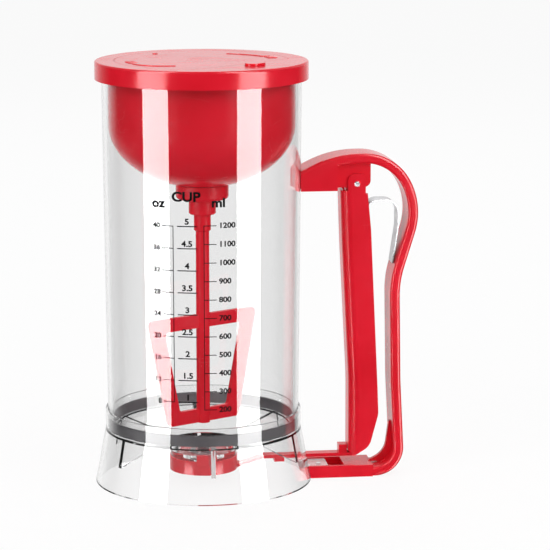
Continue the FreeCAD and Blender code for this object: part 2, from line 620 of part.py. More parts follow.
for side in (1, -1):
    wallIn = d.nozzle_radius + d.running_gap
    wallStart = wallIn if side > 0 else -wallIn - d.guide_wall
    lipWidth = d.guide_depth - d.running_gap + d.guide_wall
    lipStart = wallIn + d.guide_wall - lipWidth if side > 0 else -wallIn - d.guide_wall
    guides.append(box("guide_wall_%d" % (side + 2), -d.guide_length / 2, d.guide_length / 2,
                      d.guide_wall, valveTop - d.cup_plate, guideLow + d.running_gap + d.lip_height,
                      wallStart))
    guides.append(box("guide_lip_%d" % (side + 2), -d.guide_length / 2, d.guide_length / 2,
                      lipWidth, guideLow + d.running_gap,
                      guideLow + d.running_gap + d.lip_height, lipStart))
    guides.append(box("guide_foot_%d" % (side + 2), -d.guide_length / 2, d.guide_length / 2,
                      d.guide_wall + d.guide_foot, valveTop - d.cup_plate, valveTop,
                      wallIn - d.guide_foot if side > 0 else -wallIn - d.guide_wall))
port = rod("valve_port", d.port_radius, d.cup_low, valveTop - d.cup_low + d.overcut, portX)
keep("slide_valve", cut("valve_cut", fuse("valve_solid", cup, arm, stop, *guides), port))

# lid: rimmed cap with a thick core plate that fits the dome, and a recess for the door
capLow = lidTop - d.lid_plate
coreRadius = domeRadius - d.dome_wall - d.running_gap
cap = turned("cap_shell", [
    (0, coreLow), (coreRadius, coreLow), (coreRadius, capLow),
    (lidRadius - d.lid_rim_wall, capLow),
    (lidRadius - d.lid_rim_wall, lidTop - d.lid_rim_height),
    (lidRadius, lidTop - d.lid_rim_height), (lidRadius, lidTop, d.lid_edge_round),
    (0, lidTop)])


# The door's outline: a round plate with one straight side turned towards the button.
def doorPlate(name, grow, low, height):
    disc = rod(name + "_disc", doorRadius + grow, low, height)
    flat = doc.addObject("Part::Box", name + "_flat")
    bind(flat, "Length", doorRadius * 2)
    bind(flat, "Width", doorRadius * 4)
    bind(flat, "Height", toSize(height) + 2 * d.overcut)
    reach = doorFlat + grow
    flat.Placement = FreeCAD.Placement(
        FreeCAD.Vector(0, 0, 0), FreeCAD.Rotation(FreeCAD.Vector(0, 0, 1), d.door_turn.value))
    bind(flat, "Placement.Rotation.Angle", Size(0, "Sizes.door_turn * 1 deg"))
    side = doorRadius * 2
    place(flat, reach * cosine(d.door_turn) + side * sine(d.door_turn),
          reach * sine(d.door_turn) - side * cosine(d.door_turn), toSize(low) - d.overcut)
    return cut(name, disc, flat)


recessLow = lidTop - d.door_thick
recess = doorPlate("door_recess", d.running_gap, recessLow, d.door_thick + d.overcut)
holeLow = coreLow - d.overcut
holeDeep = d.lid_core + 2 * d.overcut
cells = []
for i in range(4):
    turn = d.cell_turn + d.cell_step * i
    cells.append((d.cell_ring * cosine(turn), d.cell_ring * sine(turn)))
cellRoom = d.cell_radius + d.tube_clearance
cellHoles = [rod("cell_hole_%d" % (i + 1), cellRoom, holeLow, holeDeep, x, y)
             for i, (x, y) in enumerate(cells)]


# A rounded bar between two points in plan.
def bar(name, start, stop, width, low, height):
    (x0, y0), (x1, y1) = start, stop
    thing = doc.addObject("Part::Box", name + "_middle")
    gap = root((x1 - x0) * (x1 - x0) + (y1 - y0) * (y1 - y0))
    along = ((x1 - x0) / gap, (y1 - y0) / gap)
    bind(thing, "Length", gap)
    bind(thing, "Width", width)
    bind(thing, "Height", height)
    heading = FreeCAD.Vector(along[0].value, along[1].value, 0)
    thing.Placement = FreeCAD.Placement(
        FreeCAD.Vector(0, 0, 0), FreeCAD.Rotation(FreeCAD.Vector(1, 0, 0), heading))
    half = toSize(width) / 2
    place(thing, x0 + along[1] * half, y0 - along[0] * half, low)
    first = rod(name + "_start", half, low, height, x0, y0)
    last = rod(name + "_stop", half, low, height, x1, y1)
    return fuse(name, thing, first, last)


pairs = [(0, 1), (2, 3)]
upperSlots = [bar("strip_slot_%d" % (n + 1), cells[a], cells[b], d.strip_width + d.slot_room,
                  holeLow, holeDeep) for n, (a, b) in enumerate(pairs)]
buttonX = buttonReach * cosine(d.door_turn)
buttonY = buttonReach * sine(d.door_turn)
buttonHalf = (d.button_length - d.button_width) / 2
across = (-sine(d.door_turn), cosine(d.door_turn))
buttonEnds = ((buttonX - across[0] * buttonHalf, buttonY - across[1] * buttonHalf),
              (buttonX + across[0] * buttonHalf, buttonY + across[1] * buttonHalf))
buttonHole = bar("button_hole", buttonEnds[0], buttonEnds[1], d.button_width + 2 * d.running_gap,
                 holeLow, holeDeep)
flangeTop = coreLow - d.running_gap
switchTop = flangeTop - d.button_flange - d.button_travel - d.running_gap
switchHalf = (d.switch_length - d.switch_width) / 2
postReach = d.switch_length / 2 + d.running_gap + d.post_radius
posts = [rod("switch_post_%s" % label, d.post_radius, switchTop - d.switch_height,
             coreLow - switchTop + d.switch_height + d.weld, buttonX + across[0] * reach,
             buttonY + across[1] * reach) for label, reach in (("left", postReach),
                                                             ("right", -postReach))]
bosses = [(bossRing * cosine(d.boss_turn + d.boss_step * i), bossRing * sine(d.boss_turn + d.boss_step * i))
          for i in range(3)]
lidHoles = [rod("lid_screw_hole_%d" % (i + 1), d.screw_radius + d.pin_fit, holeLow, holeDeep, x, y)
            for i, (x, y) in enumerate(bosses)]
lidSinks = [rod("lid_screw_sink_%d" % (i + 1), d.screw_head_radius + d.running_gap,
                recessLow - d.screw_head_height, d.lid_core, x, y)
            for i, (x, y) in enumerate(bosses)]
keep("lid_cap", cut("cap_cut", fuse("cap_with_posts", cap, *posts), recess, buttonHole,
                    *cellHoles, *upperSlots, *lidHoles, *lidSinks))

keep("lid_gasket", turned("lid_gasket_ring", [
    (d.jar_top_radius - d.jar_wall, capLow - d.lid_gasket), (d.jar_top_radius, capLow - d.lid_gasket),
    (d.jar_top_radius, capLow), (d.jar_top_radius - d.jar_wall, capLow)]))

doorSolid = doorPlate("door_solid", 0, recessLow, d.door_thick)
mark = rod("door_mark", d.mark_radius, lidTop - d.weld, d.mark_height + d.weld,
           markReach * cosine(d.mark_turn), markReach * sine(d.mark_turn))
keep("battery_door", fuse("door_with_mark", doorSolid, mark))
for n, (a, b) in enumerate(pairs):
    keep("upper_contact_%d" % (n + 1), bar("upper_strip_%d" % (n + 1), cells[a], cells[b],
                                           d.strip_width, recessLow - d.strip_metal, d.strip_metal))

buttonTop = lidTop + d.button_proud
buttonCap = bar("button_cap", buttonEnds[0], buttonEnds[1], d.button_width,
                flangeTop - d.weld, buttonTop - flangeTop + d.weld)
buttonFlange = bar("button_flange_plate", buttonEnds[0], buttonEnds[1],
                   d.button_width + 4 * d.running_gap + 2 * d.weld, flangeTop - d.button_flange,
                   d.button_flange)
keep("power_button", fuse("button_solid", buttonCap, buttonFlange))

# dome: the motor housing, a straight wall over a half ellipsoid, with the neck below
domeTop = capLow


def domeSolid(name, wall):
    wall = toSize(wall)
    bowl = doc.addObject("Part::Ellipsoid", name + "_bowl")
    bind(bowl, "Radius1", d.dome_depth - wall)
    bind(bowl, "Radius2", domeRadius - wall)
    bind(bowl, "Radius3", domeRadius - wall)
    bowl.Angle1 = -90
    bowl.Angle2 = 0
    place(bowl, 0, 0, domeEquator)
    drum = rod(name + "_drum", domeRadius - wall, domeEquator,
               domeTop - domeEquator + (0 if wall.value == 0 else d.overcut))
    return fuse(name, bowl, drum)


domeNeck = rod("dome_neck", d.neck_radius, neckLow, domeLow - neckLow + d.dome_wall)
neckBore = rod("neck_bore_cut", d.neck_bore, neckLow - d.overcut,
               domeLow - neckLow + d.dome_wall + 2 * d.overcut)
socketTop = gearboxLow + d.socket_height
socket = turned("gearbox_socket", [
    (d.gearbox_radius + d.sliding_fit, domeLow + d.weld),
    (d.gearbox_radius + d.socket_wall, domeLow + 2 * d.weld),
    (d.gearbox_radius + d.socket_wall, socketTop), (d.gearbox_radius + d.sliding_fit, socketTop)])
bossHeight = coreLow - bossLow
bossRods = [rod("lid_boss_%d" % (i + 1), d.boss_radius, bossLow, bossHeight, x, y)
            for i, (x, y) in enumerate(bosses)]
bossWebs = []
for i, (x, y) in enumerate(bosses):
    factor = (domeRadius - d.dome_wall / 2) / bossRing
    bossWebs.append(bar("boss_web_%d" % (i + 1), (x, y), (x * factor, y * factor), d.boss_web,
                        bossLow, bossHeight))
bossPilots = [rod("boss_pilot_%d" % (i + 1), d.screw_radius + d.pin_fit,
                  coreLow - d.screw_length - d.overcut, d.screw_length + 2 * d.overcut, x, y)
              for i, (x, y) in enumerate(bosses)]
outerDome = domeSolid("dome_outer", 0)
innerDome = domeSolid("dome_inner", d.dome_wall)
domeShell = cut("dome_shell", fuse("dome_with_neck", outerDome, domeNeck), innerDome)
insideParts = doc.addObject("Part::MultiCommon", "inside_parts")
insideParts.Shapes = [fuse("inside_solids", socket, *bossRods, *bossWebs),
                      domeSolid("dome_limit", d.dome_wall / 2)]
keep("motor_housing", cut("housing_cut", fuse("housing_solid", domeShell, insideParts), neckBore,
                          *bossPilots))

screws = []
for i, (x, y) in enumerate(bosses):
    headLow = recessLow - d.screw_head_height
    head = rod("lid_screw_head_%d" % (i + 1), d.screw_head_radius, headLow, d.screw_head_height,
               x, y)
    shank = rod("lid_screw_shank_%d" % (i + 1), d.screw_radius, headLow - d.screw_length + d.weld,
                d.screw_length, x, y)
    screws.append(fuse("lid_screw_%d" % (i + 1), head, shank))
keep("lid_screws", group("lid_screw_set", *screws))

# neck collar with its shaft seal and bush
collarTop = domeLow + d.overcut
sealTop = neckLow - d.running_gap
keep("neck_collar", turned("collar_ring", [
    (d.sleeve_radius + d.running_gap, collarLow), (d.collar_outer, collarLow, d.collar_round),
    (d.collar_outer, collarTop + d.collar_seam),
    (d.neck_radius + d.sliding_fit, collarTop - d.collar_seam),
    (d.neck_radius + d.sliding_fit, collarLow + d.collar_floor),
    (d.sleeve_radius + d.running_gap, collarLow + d.collar_floor)]))
bushLow = domeLow - d.bush_drop
sealFoot = neckLow + d.seal_lift
keep("bearing_bush", turned("bush_ring", [
    (d.output_radius + d.pin_fit, bushLow), (d.neck_bore, bushLow),
    (d.neck_bore, gearboxLow), (d.output_radius + d.pin_fit, gearboxLow)]))
keep("shaft_seal", turned("shaft_seal_ring", [
    (d.output_radius + d.pin_fit, sealFoot), (d.neck_bore - d.sliding_fit, sealFoot),
    (d.neck_bore - d.sliding_fit, bushLow), (d.output_radius + d.pin_fit, bushLow)]))

# gearbox and motor stand on the axis
gearboxTop = gearboxLow + d.gearbox_height
gearCase = rod("gear_case", d.gearbox_radius, gearboxLow, d.gearbox_height)
gearBore = rod("gear_bore", d.output_radius + d.pin_fit, gearboxLow - d.overcut,
               d.gear_bore_depth + d.overcut)
keep("gearbox", cut("gearbox_cut", gearCase, gearBore))
motorCan = rod("motor_can", d.motor_radius, gearboxTop, d.motor_length)
motorCap = rod("motor_cap", d.motor_radius / 3, gearboxTop + d.motor_length - d.weld,
               d.cap_rise + d.weld)
keep("motor", fuse("motor_solid", motorCan, motorCap))

# battery tray: four open tubes on a floor that bears on the gearbox
trayLow = cellTop - d.cell_nub_height - d.cell_length - d.strip_metal - d.tray_floor
tubeOut = cellRoom + d.tube_wall
tubes = [rod("tube_%d" % (i + 1), tubeOut, trayLow, d.tray_height, x, y)
         for i, (x, y) in enumerate(cells)]
tubeBores = [rod("tube_bore_%d" % (i + 1), cellRoom, trayLow + d.tray_floor, d.tray_height, x, y)
             for i, (x, y) in enumerate(cells)]
hubRing = rod("tray_hub", d.cell_ring - cellRoom, trayLow, d.tray_height - d.hub_drop)
hubBore = rod("tray_hub_bore", d.motor_radius + d.sliding_fit, trayLow - d.overcut, d.tray_height)
lowerPairs = [(1, 2), (3, 0)]
lowerSlots = [bar("lower_slot_%d" % (n + 1), cells[a], cells[b], d.strip_width + 2 * d.sliding_fit,
                  trayLow + d.tray_floor, d.strip_metal + d.overcut)
              for n, (a, b) in enumerate(lowerPairs)]
keep("battery_tray", cut("tray_cut", fuse("tray_solid", hubRing, *tubes), hubBore, *tubeBores,
                         *lowerSlots))
for n, (a, b) in enumerate(lowerPairs):
    keep("lower_contact_%d" % (n + 1), bar("lower_strip_%d" % (n + 1), cells[a], cells[b],
                                           d.strip_width, trayLow + d.tray_floor, d.strip_metal))
for i, (x, y) in enumerate(cells):
    low = trayLow + d.tray_floor + d.strip_metal
    body = rod("cell_body_%d" % (i + 1), d.cell_radius, low, d.cell_length, x, y)
    nub = rod("cell_nub_%d" % (i + 1), d.cell_nub_radius, low + d.cell_length - d.weld,
              d.cell_nub_height + d.weld - d.running_gap, x, y)
    keep("battery_%d" % (i + 1), fuse("cell_%d" % (i + 1), body, nub))

switchEnds = ((buttonX - across[0] * switchHalf, buttonY - across[1] * switchHalf),
              (buttonX + across[0] * switchHalf, buttonY + across[1] * switchHalf))
keep("power_switch", bar("switch_body", switchEnds[0], switchEnds[1], d.switch_width,
                         switchTop - d.switch_height, d.switch_height))

# drive: output shaft, coupling sleeve and the beater
outputLow = stepHeight + 2 * d.weld
keep("output_shaft", rod("output", d.output_radius, outputLow,
                         gearboxLow + d.shaft_reach - outputLow))
hubTop = stepHeight + d.hub_height
sleeve = turned("sleeve_solid", [
    (0, sleeveLow), (d.sleeve_radius - d.sleeve_edge, sleeveLow),
    (d.sleeve_radius, sleeveLow + d.sleeve_edge), (d.sleeve_radius, stepHeight),
    (d.hub_radius - d.hub_edge, stepHeight), (d.hub_radius, stepHeight + d.hub_edge),
    (d.hub_radius, hubTop), (d.sleeve_radius, hubTop),
    (d.sleeve_radius, neckLow + d.hub_gap), (0, neckLow + d.hub_gap)])
outputBore = rod("sleeve_output_bore", d.output_radius, outputLow, neckLow + 2 * d.hub_gap - outputLow)
shaftTop = stepHeight - d.weld
shaftBore = rod("sleeve_shaft_bore", d.beater_shaft_radius, sleeveLow - d.overcut,
                shaftTop - sleeveLow + d.overcut)
keep("drive_sleeve", cut("sleeve_cut", sleeve, outputBore, shaftBore))

halfTop = d.frame_top_width / 2
halfLow = d.frame_low_width / 2
frameOuter = sidePlate("frame_outer", [
    (-halfLow, d.frame_low, d.frame_round), (halfLow, d.frame_low, d.frame_round),
    (halfTop, d.frame_high, d.frame_round), (-halfTop, d.frame_high, d.frame_round)],
    d.frame_thick, None, d.frame_turn)
lean = (halfTop - halfLow) / (d.frame_high - d.frame_low) * d.frame_bar
windowLow = halfLow - d.frame_bar - d.window_inset + lean
windowTop = halfTop - d.frame_bar - d.window_inset - lean
frameInner = sidePlate("frame_inner", [
    (-windowLow, d.frame_low + d.frame_bar, d.window_round),
    (windowLow, d.frame_low + d.frame_bar, d.window_round),
    (windowTop, d.frame_high - d.frame_bar, d.window_round),
    (-windowTop, d.frame_high - d.frame_bar, d.window_round)],
    d.frame_thick + 2 * d.overcut, None, d.frame_turn)
frame = cut("frame_ring", frameOuter, frameInner)
stem = rod("beater_stem", d.beater_shaft_radius, d.beater_low, shaftTop - d.beater_low)
keep("beater", fuse("beater_solid", frame, stem))

doc.recompute()
faults = []
for thing in doc.Objects:
    if "Invalid" in thing.State or "Error" in thing.State:
        faults.append("%s %s" % (thing.Name, thing.State))
for thing in nodes:
    if thing.Shape.isNull() or not thing.Shape.isValid():
        faults.append("%s has no valid shape" % thing.Label)
if faults:
    raise RuntimeError("; ".join(faults))

os.makedirs("parts", exist_ok=True)
for thing in nodes:
    thing.Shape.exportStep("parts/%s.step" % thing.Label)
    extent = thing.Shape.BoundBox
    print("%-18s solids %d volume %9.1f  x %6.1f %6.1f  y %6.1f %6.1f  z %6.1f %6.1f" % (
        thing.Label, len(thing.Shape.Solids), thing.Shape.Volume, extent.XMin, extent.XMax,
        extent.YMin, extent.YMax, extent.ZMin, extent.ZMax))
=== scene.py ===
import bpy
import math
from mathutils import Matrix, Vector


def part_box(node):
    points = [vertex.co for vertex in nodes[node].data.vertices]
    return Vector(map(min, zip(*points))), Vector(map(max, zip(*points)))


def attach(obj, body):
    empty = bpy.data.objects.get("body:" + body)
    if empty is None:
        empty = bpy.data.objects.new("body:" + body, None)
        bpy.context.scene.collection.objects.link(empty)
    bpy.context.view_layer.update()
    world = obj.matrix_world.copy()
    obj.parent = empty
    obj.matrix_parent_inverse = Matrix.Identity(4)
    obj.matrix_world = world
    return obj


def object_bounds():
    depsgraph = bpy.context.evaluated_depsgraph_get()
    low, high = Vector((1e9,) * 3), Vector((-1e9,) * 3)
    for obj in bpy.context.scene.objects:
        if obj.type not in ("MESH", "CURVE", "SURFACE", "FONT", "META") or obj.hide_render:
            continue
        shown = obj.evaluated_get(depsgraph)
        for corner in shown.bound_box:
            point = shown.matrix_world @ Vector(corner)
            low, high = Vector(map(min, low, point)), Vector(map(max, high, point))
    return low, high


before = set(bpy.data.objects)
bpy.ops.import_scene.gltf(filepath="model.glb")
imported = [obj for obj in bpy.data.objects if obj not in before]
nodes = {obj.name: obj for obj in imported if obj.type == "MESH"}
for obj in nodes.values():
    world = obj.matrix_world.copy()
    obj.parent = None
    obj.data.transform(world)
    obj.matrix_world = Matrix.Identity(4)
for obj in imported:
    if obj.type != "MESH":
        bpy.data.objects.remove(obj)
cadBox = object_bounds()
mm = 0.001
print("frame loaded:", len(nodes), "nodes")


def clearSelection():
    if bpy.context.object and bpy.context.object.mode != "OBJECT":
        bpy.ops.object.mode_set(mode="OBJECT")
    bpy.ops.object.select_all(action="DESELECT")


def pick(*things):
    clearSelection()
    for thing in things:
        thing.select_set(True)
    bpy.context.view_layer.objects.active = things[0]


def connect(tree, source, target):
    tree.links.new(source, target)


def fillSockets(tree, made, sockets):
    for name, value in sockets.items():
        if isinstance(value, bpy.types.NodeSocket):
            connect(tree, value, made.inputs[name])
        else:
            made.inputs[name].default_value = value


def addNode(tree, kind, sockets=None, **options):
    made = tree.nodes.new("ShaderNode" + kind)
    for name, value in options.items():
        setattr(made, name, value)
    fillSockets(tree, made, sockets or {})
    return made


def addRamp(tree, factor, stops):
    ramp = addNode(tree, "ValToRGB", {"Fac": factor})
    band = ramp.color_ramp
    while len(band.elements) < len(stops):
        band.elements.new(1.0)
    for element, (place, shade) in zip(band.elements, stops):
        element.position = place
        element.color = shade + (1,) if isinstance(shade, tuple) else (shade, shade, shade, 1)
    return ramp.outputs["Color"]


def addMath(tree, operation, first, second=0.0):
    return addNode(tree, "Math", {0: first, 1: second}, operation=operation).outputs[0]


# a mask times its amount, on top of what is there
def addShare(tree, mask, amount, onto):
    return addMath(tree, "ADD", addMath(tree, "MULTIPLY", mask, amount), onto)


def addBump(tree, surface, height, strength, distance):
    bump = addNode(tree, "Bump", {"Strength": strength, "Distance": distance, "Height": height})
    connect(tree, bump.outputs[0], surface.inputs["Normal"])


def startGroup(name, inputs, outputs):
    tree = bpy.data.node_groups.new(name, "ShaderNodeTree")
    for label, kind, start in inputs:
        socket = tree.interface.new_socket(label, in_out="INPUT", socket_type="NodeSocket" + kind)
        if start is not None:
            socket.default_value = start
    for label in outputs:
        tree.interface.new_socket(label, in_out="OUTPUT", socket_type="NodeSocketFloat")
    return tree, tree.nodes.new("NodeGroupInput").outputs, tree.nodes.new("NodeGroupOutput").inputs


def useGroup(tree, group, sockets):
    made = tree.nodes.new("ShaderNodeGroup")
    made.node_tree = group
    fillSockets(tree, made, sockets)
    return made.outputs


# effects that several finishes share
def makeMouldedSkin():
    tree, given, out = startGroup("mouldedSkin", [
        ("Place", "Vector", None), ("Ripple", "Float", 260.0), ("Pits", "Float", 1900.0)],
        ["Height", "Cloud"])
    pitDepth, cloudScale = 0.25, 0.09
    ripple = addNode(tree, "TexNoise", {"Vector": given["Place"], "Scale": given["Ripple"],
                                        "Detail": 2.0})
    pits = addNode(tree, "TexNoise", {"Vector": given["Place"], "Scale": given["Pits"],
                                      "Detail": 1.0})
    broad = addMath(tree, "MULTIPLY", given["Ripple"], cloudScale)
    cloud = addNode(tree, "TexNoise", {"Vector": given["Place"], "Scale": broad, "Detail": 3.0})
    weak = addMath(tree, "MULTIPLY", pits.outputs["Fac"], pitDepth)
    connect(tree, addMath(tree, "ADD", ripple.outputs["Fac"], weak), out["Height"])
    connect(tree, cloud.outputs["Fac"], out["Cloud"])
    return tree


def makeHairlines():
    tree, given, out = startGroup("hairlines", [
        ("Place", "Vector", None), ("Density", "Float", 60.0), ("Share", "Float", 0.4)], ["Mask"])
    strokes = (((0.0, 0.3, 0.2), (1.0, 1.0, 0.05)), ((0.5, 0.1, 0.9), (0.06, 0.9, 1.0)))
    middle, lineWidth = 0.5, 0.006
    found = []
    for turn, stretch in strokes:
        laid = addNode(tree, "Mapping", {"Vector": given["Place"], "Rotation": turn,
                                         "Scale": stretch})
        noise = addNode(tree, "TexNoise", {"Vector": laid.outputs[0], "Scale": given["Density"],
                                           "Detail": 4.0})
        off = addMath(tree, "ABSOLUTE", addMath(tree, "SUBTRACT", noise.outputs["Fac"], middle))
        found.append(addRamp(tree, off, [(0.0, 1.0), (lineWidth, 0.0)]))
    patch = addNode(tree, "TexNoise", {"Vector": given["Place"], "Scale": 22.0, "Detail": 2.0})
    inside = addMath(tree, "LESS_THAN", patch.outputs["Fac"], given["Share"])
    both = addMath(tree, "MAXIMUM", found[0], found[1])
    connect(tree, addMath(tree, "MULTIPLY", both, inside), out["Mask"])
    return tree


def makeSmudges():
    tree, given, out = startGroup("smudges", [
        ("Place", "Vector", None), ("Size", "Float", 28.0)], ["Mask"])
    ridgeDepth, ridgeFloor = 0.35, 0.65
    patch = addNode(tree, "TexNoise", {"Vector": given["Place"], "Scale": given["Size"],
                                       "Detail": 3.0, "Distortion": 0.6})
    lines = addNode(tree, "TexWave", {"Vector": given["Place"], "Scale": 420.0, "Distortion": 9.0,
                                      "Detail": 1.0, "Detail Scale": 0.4}, wave_type="RINGS")
    soft = addRamp(tree, patch.outputs["Fac"], [(0.5, 0.0), (0.68, 1.0)])
    ridged = addShare(tree, lines.outputs["Fac"], ridgeDepth, ridgeFloor)
    connect(tree, addMath(tree, "MULTIPLY", soft, ridged), out["Mask"])
    return tree


def makeDust():
    tree, given, out = startGroup("dust", [
        ("Place", "Vector", None), ("Amount", "Float", 0.3)], ["Mask"])
    facing = addNode(tree, "SeparateXYZ", {0: addNode(tree, "NewGeometry").outputs["Normal"]})
    upward = addRamp(tree, facing.outputs[2], [(0.55, 0.0), (1.0, 1.0)])
    specks = addNode(tree, "TexNoise", {"Vector": given["Place"], "Scale": 1500.0, "Detail": 2.0})
    fine = addRamp(tree, specks.outputs["Fac"], [(0.58, 0.0), (0.72, 1.0)])
    shown = addMath(tree, "MULTIPLY", upward, fine)
    connect(tree, addMath(tree, "MULTIPLY", shown, given["Amount"]), out["Mask"])
    return tree


def makeBrushing():
    tree, given, out = startGroup("brushing", [
        ("Place", "Vector", None), ("Along", "Vector", (1.0, 1.0, 0.03)),
        ("Fineness", "Float", 2200.0)], ["Height", "Streak"])
    laid = addNode(tree, "VectorMath", {0: given["Place"], 1: given["Along"]},
                   operation="MULTIPLY")
    fine = addNode(tree, "TexNoise", {"Vector": laid.outputs[0], "Scale": given["Fineness"],
                                      "Detail": 3.0})
    wide = addNode(tree, "TexNoise", {"Vector": laid.outputs[0], "Scale": 300.0, "Detail": 1.0})
    connect(tree, fine.outputs["Fac"], out["Height"])
    connect(tree, wide.outputs["Fac"], out["Streak"])
    return tree


mouldedSkin = makeMouldedSkin()
hairlines = makeHairlines()
smudges = makeSmudges()
dust = makeDust()
brushing = makeBrushing()
print("shared effects built")


def startMaterial(name):
    material = bpy.data.materials.new(name)
    material.use_nodes = True
    tree = material.node_tree
    tree.nodes.clear()
    place = addNode(tree, "TexCoord").outputs["Object"]
    surface = addNode(tree, "BsdfPrincipled")
    out = addNode(tree, "OutputMaterial", {"Surface": surface.outputs[0]})
    return material, tree, place, surface, out


def skinOf(tree, place, look):
    return useGroup(tree, mouldedSkin, {"Place": place, "Ripple": look["ripple"],
                                        "Pits": look["pits"]})


# skin, hairlines and smudges, with the roughness the last two leave
def handledSkin(tree, place, look):
    skin = skinOf(tree, place, look)
    scratch = useGroup(tree, hairlines, {"Place": place, "Density": look["lines"],
                                         "Share": look["linesShare"]})
    touch = useGroup(tree, smudges, {"Place": place, "Size": look["smudgeSize"]})
    rough = addShare(tree, touch["Mask"], look["smudgeRough"], look["rough"])
    rough = addShare(tree, scratch["Mask"], look["linesRough"], rough)
    return skin, scratch, rough


# opaque moulded plastic: flow clouds in the colour, fine skin, smudges and hairlines in the gloss
def plasticMaterial(name, look):
    material, tree, place, surface, out = startMaterial(name)
    dustRough = 0.5
    skin, scratch, rough = handledSkin(tree, place, look)
    settled = useGroup(tree, dust, {"Place": place, "Amount": look["dust"]})
    blend = addRamp(tree, skin["Cloud"], [(0.35, look["dark"]), (0.65, look["light"])])
    dusty = addNode(tree, "MixRGB", {"Fac": settled["Mask"], "Color1": blend,
                                     "Color2": look["dustColour"] + (1,)})
    connect(tree, dusty.outputs[0], surface.inputs["Base Color"])
    rough = addShare(tree, settled["Mask"], dustRough, rough)
    connect(tree, rough, surface.inputs["Roughness"])
    relief = addMath(tree, "SUBTRACT", skin["Height"],
                     addMath(tree, "MULTIPLY", scratch["Mask"], look["linesDepth"]))
    addBump(tree, surface, relief, look["bump"], look["bumpDepth"])
    surface.inputs["IOR"].default_value = look["ior"]
    surface.inputs["Specular IOR Level"].default_value = look["shine"]
    return material


# clear plastic: shadow and diffuse rays pass; a faint grey tint face-on, darkened towards grazing
# edges as painted shade for the dark edge lines
def clearMaterial(name, look):
    material, tree, place, surface, out = startMaterial(name)
    skin, scratch, rough = handledSkin(tree, place, look)
    # base colour follows facing: faint grey tint face-on, painted edge shade where the surface
    # turns edge-on
    slant = addNode(tree, "LayerWeight", {"Blend": 0.5}).outputs["Facing"]
    connect(tree, addRamp(tree, slant, look["tintAndEdgeShade"]), surface.inputs["Base Color"])
    connect(tree, rough, surface.inputs["Roughness"])
    addBump(tree, surface, skin["Height"], look["bump"], look["bumpDepth"])
    surface.inputs["Transmission Weight"].default_value = look["transmission"]
    surface.inputs["IOR"].default_value = look["ior"]
    surface.inputs["Specular IOR Level"].default_value = look["shine"]
    through = addNode(tree, "BsdfTransparent", {"Color": look["shadow"]})
    path = addNode(tree, "LightPath").outputs
    passing = addMath(tree, "MAXIMUM", path["Is Shadow Ray"], path["Is Diffuse Ray"])
    mixed = addNode(tree, "MixShader", {0: passing, 1: surface.outputs[0], 2: through.outputs[0]})
    connect(tree, mixed.outputs[0], out.inputs["Surface"])
    return material


# drawn, rolled or plated metal with brushing along one direction
def metalMaterial(name, look):
    material, tree, place, surface, out = startMaterial(name)
    linesShare, linesRough, bumpDepth = 0.5, 0.2, 0.00004
    grain = useGroup(tree, brushing, {"Place": place, "Along": look["along"],
                                      "Fineness": look["fineness"]})
    scratch = useGroup(tree, hairlines, {"Place": place, "Density": look["lines"],
                                         "Share": linesShare})
    colour = addRamp(tree, grain["Streak"], [(0.3, look["dark"]), (0.7, look["light"])])
    connect(tree, colour, surface.inputs["Base Color"])
    rough = addShare(tree, grain["Height"], look["roughSpan"], look["rough"])
    rough = addShare(tree, scratch["Mask"], linesRough, rough)
    connect(tree, rough, surface.inputs["Roughness"])
    addBump(tree, surface, grain["Height"], look["bump"], bumpDepth)
    surface.inputs["Metallic"].default_value = 1.0
    return material


# soft silicone: matte, slightly see-through, fine bloom on the skin
def siliconeMaterial(name, look):
    material, tree, place, surface, out = startMaterial(name)
    skin = skinOf(tree, place, look)
    settled = useGroup(tree, dust, {"Place": place, "Amount": look["dust"]})
    blend = addRamp(tree, skin["Cloud"], [(0.3, look["dark"]), (0.7, look["light"])])
    bloom = addNode(tree, "MixRGB", {"Fac": settled["Mask"], "Color1": blend,
                                     "Color2": look["bloom"] + (1,)})
    connect(tree, bloom.outputs[0], surface.inputs["Base Color"])
    connect(tree, addShare(tree, skin["Cloud"], look["cloudRough"], look["rough"]),
            surface.inputs["Roughness"])
    addBump(tree, surface, skin["Height"], look["bump"], look["bumpDepth"])
    surface.inputs["Transmission Weight"].default_value = look["transmission"]
    surface.inputs["IOR"].default_value = look["ior"]
    return material


redPlastic = plasticMaterial("redPlastic", {
    "dark": (0.66, 0.006, 0.018), "light": (0.75, 0.010, 0.027), "dustColour": (0.62, 0.42, 0.42),
    "rough": 0.16, "smudgeRough": 0.08, "linesRough": 0.22, "linesDepth": 0.5, "linesShare": 0.42,
    "smudgeSize": 34.0, "lines": 55.0, "dust": 0.25, "ripple": 240.0, "pits": 1700.0,
    "bump": 0.16, "bumpDepth": 0.00006, "ior": 1.5, "shine": 0.22})
whitePlastic = plasticMaterial("whitePlastic", {
    "dark": (0.70, 0.70, 0.68), "light": (0.80, 0.80, 0.79), "dustColour": (0.4, 0.4, 0.4),
    "rough": 0.32, "smudgeRough": 0.1, "linesRough": 0.15, "linesDepth": 0.3, "linesShare": 0.4,
    "smudgeSize": 40.0, "lines": 70.0, "dust": 0.2, "ripple": 420.0, "pits": 2600.0,
    "bump": 0.3, "bumpDepth": 0.00008, "ior": 1.5, "shine": 0.4})
blackPlastic = plasticMaterial("blackPlastic", {
    "dark": (0.010, 0.010, 0.011), "light": (0.022, 0.022, 0.024), "dustColour": (0.3, 0.3, 0.3),
    "rough": 0.36, "smudgeRough": 0.12, "linesRough": 0.2, "linesDepth": 0.4, "linesShare": 0.45,
    "smudgeSize": 40.0, "lines": 70.0, "dust": 0.3, "ripple": 520.0, "pits": 3000.0,
    "bump": 0.35, "bumpDepth": 0.0001, "ior": 1.5, "shine": 0.4})
